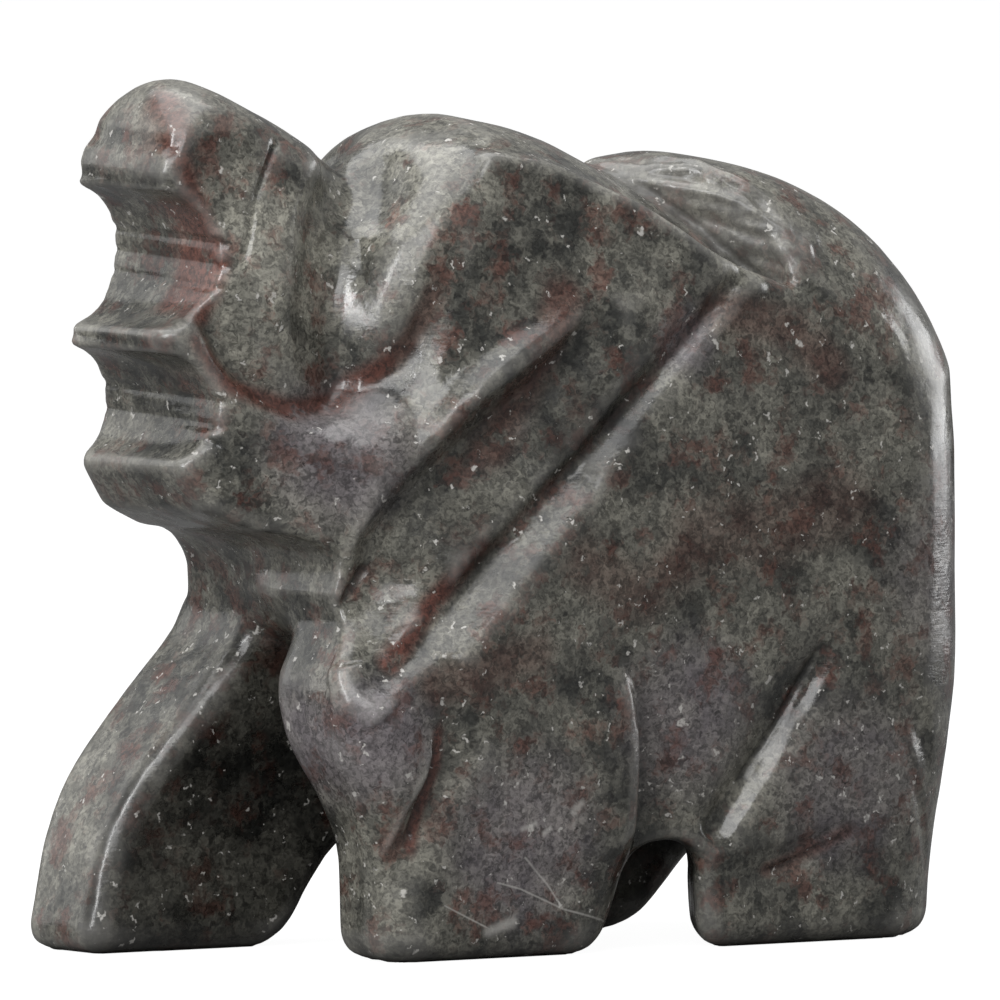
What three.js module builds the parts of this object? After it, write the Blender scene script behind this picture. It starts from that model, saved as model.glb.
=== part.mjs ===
// A pocket elephant carved from one pebble of garnet-bearing stone, trunk raised, far legs striding
// forward. It faces -X, its left side faces -Y, +Z is up, and the soles stand on Z = 0.
//
// The stone is shaped the way a carver works it: a few sawn slabs with a drawn side outline give the
// trunk, head, ears, barrel and legs, and a grinding wheel then bites grooves, ramps and hollows into
// them. Every form is a signed distance, negative inside, so that the masses flow together. Places
// are given in millimetres at the drawn height, and scale with the height.

import * as THREE from "three";

// Driving sizes, in millimetres.
const HEIGHT = 47.4;
const FLANK_WIDTH = 24;
const LEG_SPREAD = 21.6;
const LEG_CHANNEL = 7.4;
const TRUNK_WIDTH = 9.2;

const DRAWN_HEIGHT = 47.4;
const UNIT = HEIGHT / DRAWN_HEIGHT;
const FLANK = FLANK_WIDTH / 2 / UNIT;
const LEG_OUTSIDE = LEG_SPREAD / 2 / UNIT;
const LEG_INSIDE = LEG_CHANNEL / 2 / UNIT;
const TRUNK_SIDE = TRUNK_WIDTH / 2 / UNIT;

// How finely the form is sampled, and how many triangles are kept of it.
const SAMPLE = 0.56;
const TRIANGLES = 9400;
const SOLE_FLATNESS = 0.06;
// How far from the surface a sample lies once it has changed side.
const BARELY = 0.02;
// The step that slopes are measured over.
const SLOPE_STEP = 0.02;

const STONE = { color: 0x4a4640, roughness: 0.32, metalness: 0.0 };

// Blends.

const mix = (a, b, share) => a + (b - a) * share;

const clamp = (value, low, high) => Math.min(high, Math.max(low, value));

const ease = (low, high, value) => {
  const share = clamp((value - low) / (high - low), 0, 1);
  return share * share * (3 - 2 * share);
};

// The union of two forms, with a fillet about as large as the blend.
const join = (a, b, blend) => {
  const share = clamp(0.5 + (0.5 * (b - a)) / blend, 0, 1);
  return mix(b, a, share) - blend * share * (1 - share);
};

// What two forms share, with the edge between them softened.
const meet = (a, b, blend) => -join(-a, -b, blend);

// A form less a cutter.
const cut = (form, cutter, blend) => meet(form, -cutter, blend);

// What a side outline and a thickness share, with a rounded edge.
const roundMeet = (a, b, radius) => {
  const corner = Math.hypot(Math.max(a + radius, 0), Math.max(b + radius, 0));
  return Math.min(Math.max(a, b) + radius, 0) + corner - radius;
};

// The space that the form is sampled in.
const HALF_WIDTH = Math.max(FLANK, LEG_OUTSIDE, TRUNK_SIDE) + 2;
const LOW = [-27, -HALF_WIDTH, -0.6];
const HIGH = [27, HALF_WIDTH, 49.5];

// A value that depends on (x, z) only, worked out once on a fine grid and read back between its nodes.
const TABLE_CELL = 0.2;
const tabulate = (read) => {
  const nx = Math.ceil((HIGH[0] - LOW[0]) / TABLE_CELL) + 3;
  const nz = Math.ceil((HIGH[2] - LOW[2]) / TABLE_CELL) + 3;
  const table = new Float32Array(nx * nz);
  for (let i = 0; i < nx; i += 1) {
    for (let k = 0; k < nz; k += 1) {
      table[i * nz + k] = read(LOW[0] + (i - 1) * TABLE_CELL, LOW[2] + (k - 1) * TABLE_CELL);
    }
  }
  return (x, z) => {
    const u = clamp((x - LOW[0]) / TABLE_CELL + 1, 0, nx - 1.001);
    const w = clamp((z - LOW[2]) / TABLE_CELL + 1, 0, nz - 1.001);
    const i = Math.floor(u);
    const k = Math.floor(w);
    const at = i * nz + k;
    const low = mix(table[at], table[at + 1], w - k);
    const high = mix(table[at + nz], table[at + nz + 1], w - k);
    return mix(low, high, u - i);
  };
};

// Draws on through more places of an outline, each [x, z].
const through = (shape, places) => shape.splineThru(places.map(([x, z]) => new THREE.Vector2(x, z)));

// A closed side outline, drawn in the X-Z plane as a three.js shape: the distance to it, negative inside.
const outline = (draw) => {
  const shape = new THREE.Shape();
  draw(shape);
  const points = shape.getPoints(8).filter((p, i, all) => p.distanceTo(all[(i + 1) % all.length]) > 1e-4);
  return tabulate((x, z) => {
    let nearest = Infinity;
    let inside = false;
    for (let i = 0, j = points.length - 1; i < points.length; j = i++) {
      const a = points[i];
      const b = points[j];
      const ex = b.x - a.x;
      const ez = b.y - a.y;
      const wx = x - a.x;
      const wz = z - a.y;
      const along = clamp((wx * ex + wz * ez) / (ex * ex + ez * ez), 0, 1);
      nearest = Math.min(nearest, (wx - ex * along) ** 2 + (wz - ez * along) ** 2);
      if (a.y > z !== b.y > z && x < (ex * wz) / ez + a.x) inside = !inside;
    }
    return Math.sqrt(nearest) * (inside ? -1 : 1);
  });
};

// The path of a wheel over one side. Each stop is [x, z, |y| of the floor of the cut]. It gives the
// offset from the path, positive to the right of the way the wheel runs, how far past an end of the
// path (x, z) lies, and the floor of the cut there.
const wheelPath = (stops) => {
  const curve = new THREE.CatmullRomCurve3(stops.map(([x, z, y]) => new THREE.Vector3(x, z, y)));
  const points = curve.getPoints(stops.length === 2 ? 1 : stops.length * 5);
  const locate = (x, z) => {
    let nearest = Infinity;
    let answer;
    for (let i = 0; i + 1 < points.length; i += 1) {
      const a = points[i];
      const b = points[i + 1];
      const ex = b.x - a.x;
      const ez = b.y - a.y;
      const raw = ((x - a.x) * ex + (z - a.y) * ez) / (ex * ex + ez * ez);
      const along = clamp(raw, 0, 1);
      const dx = x - a.x - ex * along;
      const dz = z - a.y - ez * along;
      const far = dx * dx + dz * dz;
      if (far >= nearest) continue;
      nearest = far;
      const length = Math.hypot(ex, ez);
      const right = (dx * ez - dz * ex) / length;
      const ends = (i === 0 && raw < 0) || (i + 2 === points.length && raw > 1);
      answer = {
        right: ends ? right : Math.sign(right) * Math.sqrt(far),
        past: ends ? Math.abs(raw - along) * length : 0,
        floor: mix(a.z, b.z, along),
      };
    }
    return answer;
  };
  return {
    right: tabulate((x, z) => locate(x, z).right),
    past: tabulate((x, z) => locate(x, z).past),
    floor: tabulate((x, z) => locate(x, z).floor),
  };
};

// A form of even thickness behind a side outline, half of it to each side of y = middle.
const slab = (edge, x, y, z, middle, half, radius) =>
  roundMeet(edge(x, z), Math.abs(y - middle) - half, radius);

// A wheel held askew: a wall on the left of its path and a ramp on the right. Their angles, in
// degrees, are measured from the direction that looks straight at the side.
const RAD = Math.PI / 180;
const rampCut = (path, x, side, z, wallAngle, rampAngle, soft) => {
  const right = path.right(x, z);
  const out = side - path.floor(x, z);
  const wall = -right * Math.cos(wallAngle * RAD) - out * Math.sin(wallAngle * RAD);
  const ramp = right * Math.cos(rampAngle * RAD) - out * Math.sin(rampAngle * RAD);
  return meet(meet(wall, ramp, soft), path.past(x, z) - soft, soft);
};

// A round-edged wheel run straight in.
const roundCut = (path, x, side, z, radius) => {
  const out = Math.min(side - path.floor(x, z) - radius, 0);
  return Math.hypot(path.right(x, z), path.past(x, z), out) - radius;
};

// A wheel run across the whole carving, its axle along Y.
const crossCut = (x, z, centreX, centreZ, radius) => Math.hypot(x - centreX, z - centreZ) - radius;

const ellipsoid = (x, y, z, [cx, cy, cz], [rx, ry, rz]) => {
  const scaled = Math.hypot((x - cx) / rx, (y - cy) / ry, (z - cz) / rz);
  const slope = Math.hypot((x - cx) / rx ** 2, (y - cy) / ry ** 2, (z - cz) / rz ** 2);
  return slope < 1e-6 ? -Math.min(rx, ry, rz) : (scaled * (scaled - 1)) / slope;
};

// Body. The flanks lean in towards the back and, a little, towards the feet.

const flank = (z) => FLANK - ease(22, 43, z) * 1.3 - ease(16, 1, z) * (FLANK - LEG_OUTSIDE);

const REAR = 24.5;
const REAR_TAPER = 1.1;
const REAR_CORNER = 6.5;

const bodyOutline = outline((s) => {
  s.moveTo(-14.2, 20.4);
  through(s, [[-11, 30], [-4, 37], [1.6, 40.4], [4.6, 42], [9.4, 43]]);
  through(s, [[14.6, 42], [REAR - 5.1, 39.6], [REAR - 1.7, 35.6], [REAR + 0.2, 30.6], [REAR + 0.5, 25]]);
  s.lineTo(REAR - 0.1, 12);
  through(s, [[REAR - 1.7, 7.4], [REAR - 4.5, 6]]);
  s.lineTo(-6, 6);
  through(s, [[-8.6, 8.6], [-11, 12.4], [-13, 16.6]]);
  through(s, [[-13.9, 18.2], [-14.2, 20.4]]);
});

// The top of the head as it falls back and to the sides. Ahead of the crease the body keeps below it.
const headTop = (x, side) => 43.6 - 0.34 * x - (0.03 + 0.03 * ease(-5, 6, x)) * Math.min(side, 9) ** 2;

const body = (x, y, z) => {
  const side = Math.abs(y);
  const half = mix(8, flank(z), ease(-18, -12, x));
  const radius = mix(mix(3, 1.2, ease(20, 10, z)), 6.2, ease(2, 16, x) * ease(8, 22, z));
  const top = z + 0.022 * y * y * ease(28, 40, z);
  const barrel = slab(bodyOutline, x, y, top, 0, half, radius);
  const crease = (4.8 + 0.7 * Math.min(side, 8.5) - 0.3 * (z - 40) - x) * 0.8;
  const floor = headTop(x, side) + 1.3 * ease(7, 11, side);
  return cut(barrel, Math.max(-crease, floor - z), 1.4);
};

// The hollow under the chest, between the forelegs.
const chestOutline = outline((s) => {
  s.moveTo(-24, -3);
  s.lineTo(-24, 15);
  through(s, [[-18, 16.6], [-13.4, 16.8], [-10.4, 15.6], [-6.6, 13], [-3.4, 9.6]]);
  through(s, [[-1.6, 7], [-1, 4]]);
  s.lineTo(-1, -3);
});

// Legs. Each stands between the channel under the belly and its own outer face. Its outline is drawn
// as it shows on the outer face; the slant carries it back towards the inner one, and its top is sunk
// into the flank, deeper behind the chest.
const TOP_SINK = 2;

const legs = [
  {
    side: -1,
    slant: 0.3,
    round: 2.6,
    sunk: 0.8,
    edge: outline((s) => {
      s.moveTo(-6, 19);
      through(s, [[-11, 19], [-15.2, 18.2], [-17.3, 15.6], [-17.2, 12], [-16, 9]]);
      through(s, [[-15.2, 6.2], [-15, 3.2], [-14.9, 0], [-14.8, -3]]);
      s.lineTo(-1.2, -3);
      through(s, [[-0.6, 0], [0.4, 2.6]]);
      through(s, [[1.2, 6], [1.4, 10], [0.8, 14], [-1, 18]]);
    }),
  },
  {
    side: 1,
    slant: 0,
    round: 1.3,
    sunk: 1.4,
    edge: outline((s) => {
      s.moveTo(-4, 22);
      through(s, [[-11.6, 22], [-14, 18.9], [-15.9, 16.6], [-17.8, 14.4], [-19.5, 12.2]]);
      through(s, [[-21.1, 10.1], [-22.4, 7.9], [-23.4, 5.8], [-24, 3.6], [-24.5, 1.4]]);
      s.lineTo(-24.7, -3);
      s.lineTo(-13, -3);
      through(s, [[-12, -0.2], [-11, 1.4], [-8.6, 4.8], [-4, 9]]);
    }),
  },
  {
    side: -1,
    slant: 0.6,
    round: 1.5,
    sunk: 3,
    edge: outline((s) => {
      s.moveTo(9, 18);
      through(s, [[6.2, 12], [5.2, 7], [5, 3.6]]);
      s.lineTo(5.6, -3);
      s.lineTo(22.6, -3);
      through(s, [[23.2, 0], [23.7, 2]]);
      through(s, [[24.2, 6], [24.5, 12], [22.4, 18]]);
    }),
  },
  {
    side: 1,
    slant: 0,
    round: 1.3,
    sunk: 3,
    edge: outline((s) => {
      s.moveTo(2, 18);
      through(s, [[-1.6, 12], [-3.2, 6], [-3.4, 2.4]]);
      s.lineTo(-3, -3);
      s.lineTo(10.4, -3);
      through(s, [[11, -0.6], [12.2, 0.9]]);
      through(s, [[15, 3.8], [18.6, 7.4], [21.6, 12], [22.4, 18]]);
    }),
  },
];

const leg = ({ side, slant, round, sunk, edge }, x, y, z) => {
  const outer = flank(z) - ease(8, 17, z) * (sunk + TOP_SINK * ease(-13.5, -9.5, x));
  const inner = LEG_INSIDE - ease(6, 15, z) * 1.6;
  const back = x - slant * clamp(outer - y * side, 0, outer - inner) * ease(-17, -9, x);
  return slab(edge, back, y, z, (side * (inner + outer)) / 2, (outer - inner) / 2, round);
};

// The plan that rounds off the rear of the body and legs.
const rearPlan = (x, y, z) => {
  const rear = REAR - REAR_TAPER * ease(16, 0, z);
  return roundMeet(x - rear, Math.abs(y) - flank(z) - 0.2, REAR_CORNER);
};

// Head.

const skullOutline = outline((s) => {
  s.moveTo(-15.4, 24);
  through(s, [[-15.4, 34], [-13.9, 38.6], [-12, 41.4], [-8.8, 44], [-5.2, 45.3]]);
  through(s, [[-0.8, 44.5], [2.4, 43.3], [5.6, 41.8], [9.6, 39.6], [12, 38]]);
  s.lineTo(9.6, 24);
});

const jawOutline = outline((s) => {
  s.moveTo(-22.9, 24.3);
  through(s, [[-24.1, 26], [-24.6, 27.2], [-25.1, 31], [-25.1, 34.4]]);
  s.lineTo(-22.6, 34.4);
  through(s, [[-21.4, 32.4], [-19.8, 30.8], [-17.6, 29.9], [-15.6, 29.8], [-13.6, 30.8]]);
  through(s, [[-12, 32.6], [-10.6, 35.4], [-9.2, 38.6]]);
  s.lineTo(-4, 40);
  s.lineTo(2, 34);
  s.lineTo(-13.6, 17.6);
  through(s, [[-14.8, 18.6], [-15.8, 21.2], [-17.4, 22.6], [-20.2, 23.2]]);
});

const earOutline = outline((s) => {
  s.moveTo(-6.8, 43.5);
  through(s, [[-3.2, 42.9], [0.4, 41.4], [3.4, 39.9], [6.2, 38], [9.3, 35.9]]);
  s.lineTo(-13, 16.4);
  through(s, [[-15, 17.6], [-16.6, 19.8]]);
  s.lineTo(-13.4, 30);
});

// The sides of the ears are sawn flat, closer together at the front and at the top.
const earSide = (x, z) => Math.min(10.1 + 0.15 * x + 0.1 * (37 - z), 11.7);

const jaw = (x, y, z) => {
  const half = mix(TRUNK_SIDE + 0.5, 10.2, ease(-26, -9, x));
  return slab(jawOutline, x, y, z, 0, Math.min(half, earSide(x, z) - 0.1), 0.9);
};

const head = (x, y, z) => {
  const skull = meet(skullOutline(x, z + 43.6 - 0.34 * x - headTop(x, Math.abs(y))), Math.abs(y) - 9, 0.8);
  const brow = ellipsoid(x, y, z, [-3.6, 0, 34.4], [12.4, 11.2, 12.4]);
  return meet(skull, Math.min(brow, -(x + 4.2)), 0.8);
};

const ear = (x, y, z) => slab(earOutline, x, y, z, 0, earSide(x, z), 0.5);

const trunkOutline = outline((s) => {
  s.moveTo(-9, 34);
  through(s, [[-11.2, 41.4], [-13.6, 43.6], [-16.4, 45.3], [-19.4, 46.7]]);
  through(s, [[-21.6, 47.4], [-23.4, 46.9], [-24.7, 45.1], [-25.3, 42.7], [-25.4, 40.6]]);
  s.lineTo(-25.5, 31);
  s.lineTo(-16, 26);
});

// The side of the trunk swells to a lobe that ends above the cheek.
const trunk = (x, y, z) => {
  const lobe = ease(-25, -19, x) * ease(-13.6, -18.4, x) * ease(45, 36, z);
  const fall = 0.085 * y * y;
  return slab(trunkOutline, x, y, z + fall, 0, TRUNK_SIDE + 1.7 * lobe, 0.8);
};

// Wheel cuts on the sides.

const cheekPath = wheelPath([
  [-9.4, 38.6, 9.2],
  [-10.6, 35, 7.9],
  [-12, 32.2, 7.1],
  [-13.6, 30.6, 6.5],
  [-15.6, 29.7, 6.1],
  [-17.6, 29.7, 5.7],
  [-20, 30.9, 5.1],
  [-21.6, 32.6, 4.6],
  [-22.6, 34.6, 4.4],
]);

const browPath = wheelPath([
  [-10.9, 46, 0],
  [-12, 42.6, 1.6],
  [-14.4, 39.6, 3.9],
  [-15.8, 35.6, 5.3],
  [-16.2, 31.4, 6.2],
]);

const earHollow = wheelPath([
  [-1.4, 35, 10.4],
  [-2.6, 32.8, 9.7],
  [-8.4, 27.9, 8.6],
  [-13.6, 23.6, 8],
  [-15.6, 18.6, 7.4],
]);

const neckPath = wheelPath([
  [9.8, 37.9, 10.9],
  [7.7, 36.1, 10.5],
  [-2.9, 26.2, 10.3],
  [-14.4, 15.5, 9.3],
]);

// The end of the neck groove, where it runs out over the top of a foreleg.
const neckEnd = wheelPath([
  [-2.9, 26.2, 10.3],
  [-9, 20.5, 10],
  [-12.8, 17, 10],
  [-14.9, 15, 11],
]);

// The end of the ear's hollow, over the top of the near foreleg.
const hollowEnd = wheelPath([
  [-14.9, 20.6, 8.3],
  [-15.7, 18.4, 8.8],
  [-16.4, 16.4, 9.6],
]);

const hindScoop = wheelPath([
  [13.8, 17.6, 11.7],
  [12.7, 15.2, 11],
  [10.3, 12, 10.6],
  [8.2, 8.9, 10.4],
  [6.4, 6.4, 10.2],
]);

const foreScoop = wheelPath([
  [1.8, 18.8, 12.6],
  [-1.2, 15.9, 11.8],
  [-4.6, 13, 12.2],
]);

const nearShin = wheelPath([
  [-11.2, 15.2, 11.6],
  [-11.3, 12, 11],
  [-12.1, 9, 10.5],
  [-14.4, 5.2, 10],
  [-16.6, 3, 9.9],
]);

const kneeNotch = wheelPath([
  [16, 6.4, 11.3],
  [13.4, 5.4, 10.6],
  [10.8, 4.2, 10.3],
  [8.6, 3.6, 10.6],
]);

const heelArc = wheelPath([
  [18.2, 14.4, 12],
  [20.2, 10.6, 11.2],
  [22.2, 6.4, 9.9],
  [22.8, 2.4, 9.3],
]);

const belowArm = wheelPath([
  [-0.4, 16.4, 11.7],
  [1.2, 12, 10.8],
  [1.4, 6.6, 10],
  [0.6, -1, 9.5],
]);

// The cuts that both sides carry.
const sideCuts = (form, x, side, z) => {
  let d = cut(form, roundCut(browPath, x, side, z, 2.2), 1.0);
  d = cut(d, rampCut(cheekPath, x, side, z, 38, 44, 0.4), 0.9);
  // The hollow of the ear stops at the neck groove.
  const hollow = rampCut(earHollow, x, side, z, 62, 46, 1.0);
  d = cut(d, meet(hollow, -neckPath.right(x, z), 0.3), 0.5);
  return cut(d, rampCut(neckPath, x, side, z, 36, 56, 0.3), 0.3);
};

// The near side's own cuts, on its legs and lower flank.
const nearCuts = (form, x, side, z) => {
  let d = cut(form, roundCut(hollowEnd, x, side, z, 2.6), 1.0);
  d = cut(d, rampCut(hindScoop, x, side, z, 40, 64, 0.6), 0.6);
  d = cut(d, roundCut(foreScoop, x, side, z, 1.8), 1.2);
  d = cut(d, rampCut(nearShin, x, side, z, 52, 58, 0.5), 0.7);
  d = cut(d, rampCut(kneeNotch, x, side, z, 34, 56, 0.4), 0.5);
  d = cut(d, rampCut(belowArm, x, side, z, 76, 20, 0.3), 0.3);
  return cut(d, roundCut(heelArc, x, side, z, 1.6), 0.6);
};

// A wheel run up between the hind legs, behind the channel.
const rearGroove = (x, y, z) => Math.hypot(x - REAR - 0.7 - 1.6 * ease(2, 15, z), y) - 2.2;

// Wheel cuts across the front of the trunk, and under the jaw.
const frontCuts = (form, x, z) => {
  let d = cut(form, crossCut(x, z, -25.8, 37.9, 3.8), 0.3);
  d = cut(d, crossCut(x, z, -25.4, 29.9, 3.0), 0.3);
  return cut(d, crossCut(x, z, -18.8, 20.6, 2.1), 0.6);
};

const elephant = (x, y, z) => {
  const side = Math.abs(y);
  // The far ear sits a little further back.
  const swing = x - 2 * ease(-2, 6, y);
  let upper = join(ear(swing, y, z), head(x, y, z), 0.5);
  upper = join(upper, jaw(x, y, z), 1.0);
  upper = join(upper, trunk(x, y, z), 0.8);
  upper = join(upper, body(x, y, z), 0.6);
  upper = sideCuts(upper, swing, side, z);
  upper = frontCuts(upper, x, z);
  upper = cut(upper, slab(chestOutline, x, y, z, 0, LEG_INSIDE, 1.5), 0.8);
  let lower = Infinity;
  legs.forEach((each) => {
    lower = Math.min(lower, leg(each, x, y, z));
  });
  let d = join(upper, lower, 2.2);
  d = cut(d, rampCut(neckEnd, swing, side, z, 36, 56, 0.3), 0.4);
  if (y < 0) d = nearCuts(d, x, side, z);
  d = Math.max(d, rearPlan(x, y, z));
  d = cut(d, rearGroove(x, y, z), 0.8);
  return meet(d, -z, 1.6);
};

// Surface. The form is sampled on an even grid, and each grid cell that the surface crosses gets one
// corner of the mesh, moved onto the surface.

const gradient = (form, p, step) =>
  [0, 1, 2].map((axis) => {
    const ahead = [...p];
    const behind = [...p];
    ahead[axis] += step;
    behind[axis] -= step;
    return (form(...ahead) - form(...behind)) / (2 * step);
  });

const settle = (form, start, reach) => {
  let p = start;
  for (let pass = 0; pass < 3; pass += 1) {
    const slope = gradient(form, p, SLOPE_STEP);
    const steep = Math.max(slope.reduce((sum, g) => sum + g * g, 0), 0.05);
    const step = form(...p) / steep;
    p = p.map((value, axis) => clamp(value - slope[axis] * step, start[axis] - reach, start[axis] + reach));
  }
  return p;
};

// Where the surface would touch itself across a face or a cell of the grid, the sample nearest to it
// there changes side, so that the mesh never pinches.
const unpinch = (values, [nx, ny, nz], at) => {
  const strides = [at(1, 0, 0), at(0, 1, 0), at(0, 0, 1)];
  const changeSide = (places) => {
    const closer = (best, each) => (Math.abs(values[each]) < Math.abs(values[best]) ? each : best);
    const nearest = places.reduce(closer);
    values[nearest] = values[nearest] < 0 ? BARELY : -BARELY;
  };
  const inside = (place) => values[place] < 0;
  const faceTouches = (here, u, v) => {
    const [a, b, c, d] = [here, here + u, here + u + v, here + v].map(inside);
    return a === c && b === d && a !== b;
  };
  const cellTouches = (near, far, others) =>
    inside(near) === inside(far) && others.every((place) => inside(place) !== inside(near));
  let touches = true;
  while (touches) {
    touches = false;
    for (let i = 0; i + 1 < nx; i += 1) {
      for (let k = 0; k + 1 < nz; k += 1) {
        for (let j = 0; j + 1 < ny; j += 1) {
          const here = at(i, j, k);
          for (let axis = 0; axis < 3; axis += 1) {
            const u = strides[(axis + 1) % 3];
            const v = strides[(axis + 2) % 3];
            if (!faceTouches(here, u, v)) continue;
            changeSide([here, here + u, here + u + v, here + v]);
            touches = true;
          }
          const cell = [0, 1, 2, 3, 4, 5, 6, 7].map(
            (n) => here + (n & 1 ? strides[0] : 0) + (n & 2 ? strides[1] : 0) + (n & 4 ? strides[2] : 0),
          );
          for (let n = 0; n < 4; n += 1) {
            const others = cell.filter((_, m) => m !== n && m !== 7 - n);
            if (!cellTouches(cell[n], cell[7 - n], others)) continue;
            changeSide([cell[n], cell[7 - n]]);
            touches = true;
          }
        }
      }
    }
  }
};

const sampleSurface = (form, low, high, cell) => {
  const counts = low.map((value, axis) => Math.ceil((high[axis] - value) / cell) + 1);
  const [nx, ny, nz] = counts;
  const at = (i, j, k) => (i * nz + k) * ny + j;
  const values = new Float32Array(nx * ny * nz);
  for (let i = 0; i < nx; i += 1) {
    for (let k = 0; k < nz; k += 1) {
      for (let j = 0; j < ny; j += 1) {
        values[at(i, j, k)] = form(low[0] + i * cell, low[1] + j * cell, low[2] + k * cell);
      }
    }
  }
  unpinch(values, counts, at);
  const corners = [];
  const cornerOf = new Int32Array(values.length).fill(-1);
  for (let i = 0; i + 1 < nx; i += 1) {
    for (let k = 0; k + 1 < nz; k += 1) {
      for (let j = 0; j + 1 < ny; j += 1) {
        const sum = [0, 0, 0];
        let crossings = 0;
        for (let edge = 0; edge < 12; edge += 1) {
          const axis = edge >> 2;
          const base = [0, 0, 0];
          base[(axis + 1) % 3] = edge & 1;
          base[(axis + 2) % 3] = (edge >> 1) & 1;
          const end = [...base];
          end[axis] = 1;
          const a = values[at(i + base[0], j + base[1], k + base[2])];
          const b = values[at(i + end[0], j + end[1], k + end[2])];
          if (a < 0 === b < 0) continue;
          base[axis] = a / (a - b);
          base.forEach((value, n) => {
            sum[n] += value;
          });
          crossings += 1;
        }
        if (!crossings) continue;
        cornerOf[at(i, j, k)] = corners.length;
        const start = [i, j, k].map((index, n) => low[n] + (index + sum[n] / crossings) * cell);
        corners.push(settle(form, start, cell * 0.45));
      }
    }
  }
  const triangles = [];
  const strides = [at(1, 0, 0), at(0, 1, 0), at(0, 0, 1)];
  for (let i = 1; i + 1 < nx; i += 1) {
    for (let k = 1; k + 1 < nz; k += 1) {
      for (let j = 1; j + 1 < ny; j += 1) {
        const here = at(i, j, k);
        for (let axis = 0; axis < 3; axis += 1) {
          const inside = values[here] < 0;
          if (inside === values[here + strides[axis]] < 0) continue;
          const u = strides[(axis + 1) % 3];
          const v = strides[(axis + 2) % 3];
          const ring = [here, here - u, here - u - v, here - v].map((index) => cornerOf[index]);
          if (!inside) ring.reverse();
          triangles.push([ring[0], ring[1], ring[2]], [ring[0], ring[2], ring[3]]);
        }
      }
    }
  }
  return { corners, triangles };
};

// Fewer triangles. Edges are collapsed in the order of the error they bring, by the distances of the
// new corner from the planes that met at the old ones, while the surface stays closed and unfolded.

class Quadric {
  constructor() {
    this.m = new Float64Array(10);
  }

  plane([a, b, c], d, weight) {
    [a * a, a * b, a * c, a * d, b * b, b * c, b * d, c * c, c * d, d * d].forEach((value, n) => {
      this.m[n] += value * weight;
    });
  }

  add(other) {
    other.m.forEach((value, n) => {
      this.m[n] += value;
    });
  }

  error([x, y, z]) {
    const m = this.m;
    const square = m[0] * x * x + m[4] * y * y + m[7] * z * z + m[9];
    return square + 2 * (m[1] * x * y + m[2] * x * z + m[3] * x + m[5] * y * z + m[6] * y + m[8] * z);
  }
}

const subtract = (a, b) => [a[0] - b[0], a[1] - b[1], a[2] - b[2]];
const cross = (a, b) => [a[1] * b[2] - a[2] * b[1], a[2] * b[0] - a[0] * b[2], a[0] * b[1] - a[1] * b[0]];
const dot = (a, b) => a[0] * b[0] + a[1] * b[1] + a[2] * b[2];

// The corner with the least error for two quadrics together, on or near the edge between a and b.
const bestCorner = (q, a, b) => {
  const m = q.m;
  const middle = a.map((value, n) => (value + b[n]) / 2);
  const matrix = new THREE.Matrix3().set(m[0], m[1], m[2], m[1], m[4], m[5], m[2], m[5], m[7]);
  const length = Math.hypot(...subtract(a, b));
  const scale = m[0] + m[4] + m[7];
  let choices = [a, b, middle];
  if (matrix.determinant() > 1e-3 * scale ** 3) {
    const solved = new THREE.Vector3(-m[3], -m[6], -m[8]).applyMatrix3(matrix.invert()).toArray();
    if (Math.hypot(...subtract(solved, middle)) < length * 1.2) choices = [solved];
  }
  return choices.reduce((best, each) => (q.error(each) < q.error(best) ? each : best));
};

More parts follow.
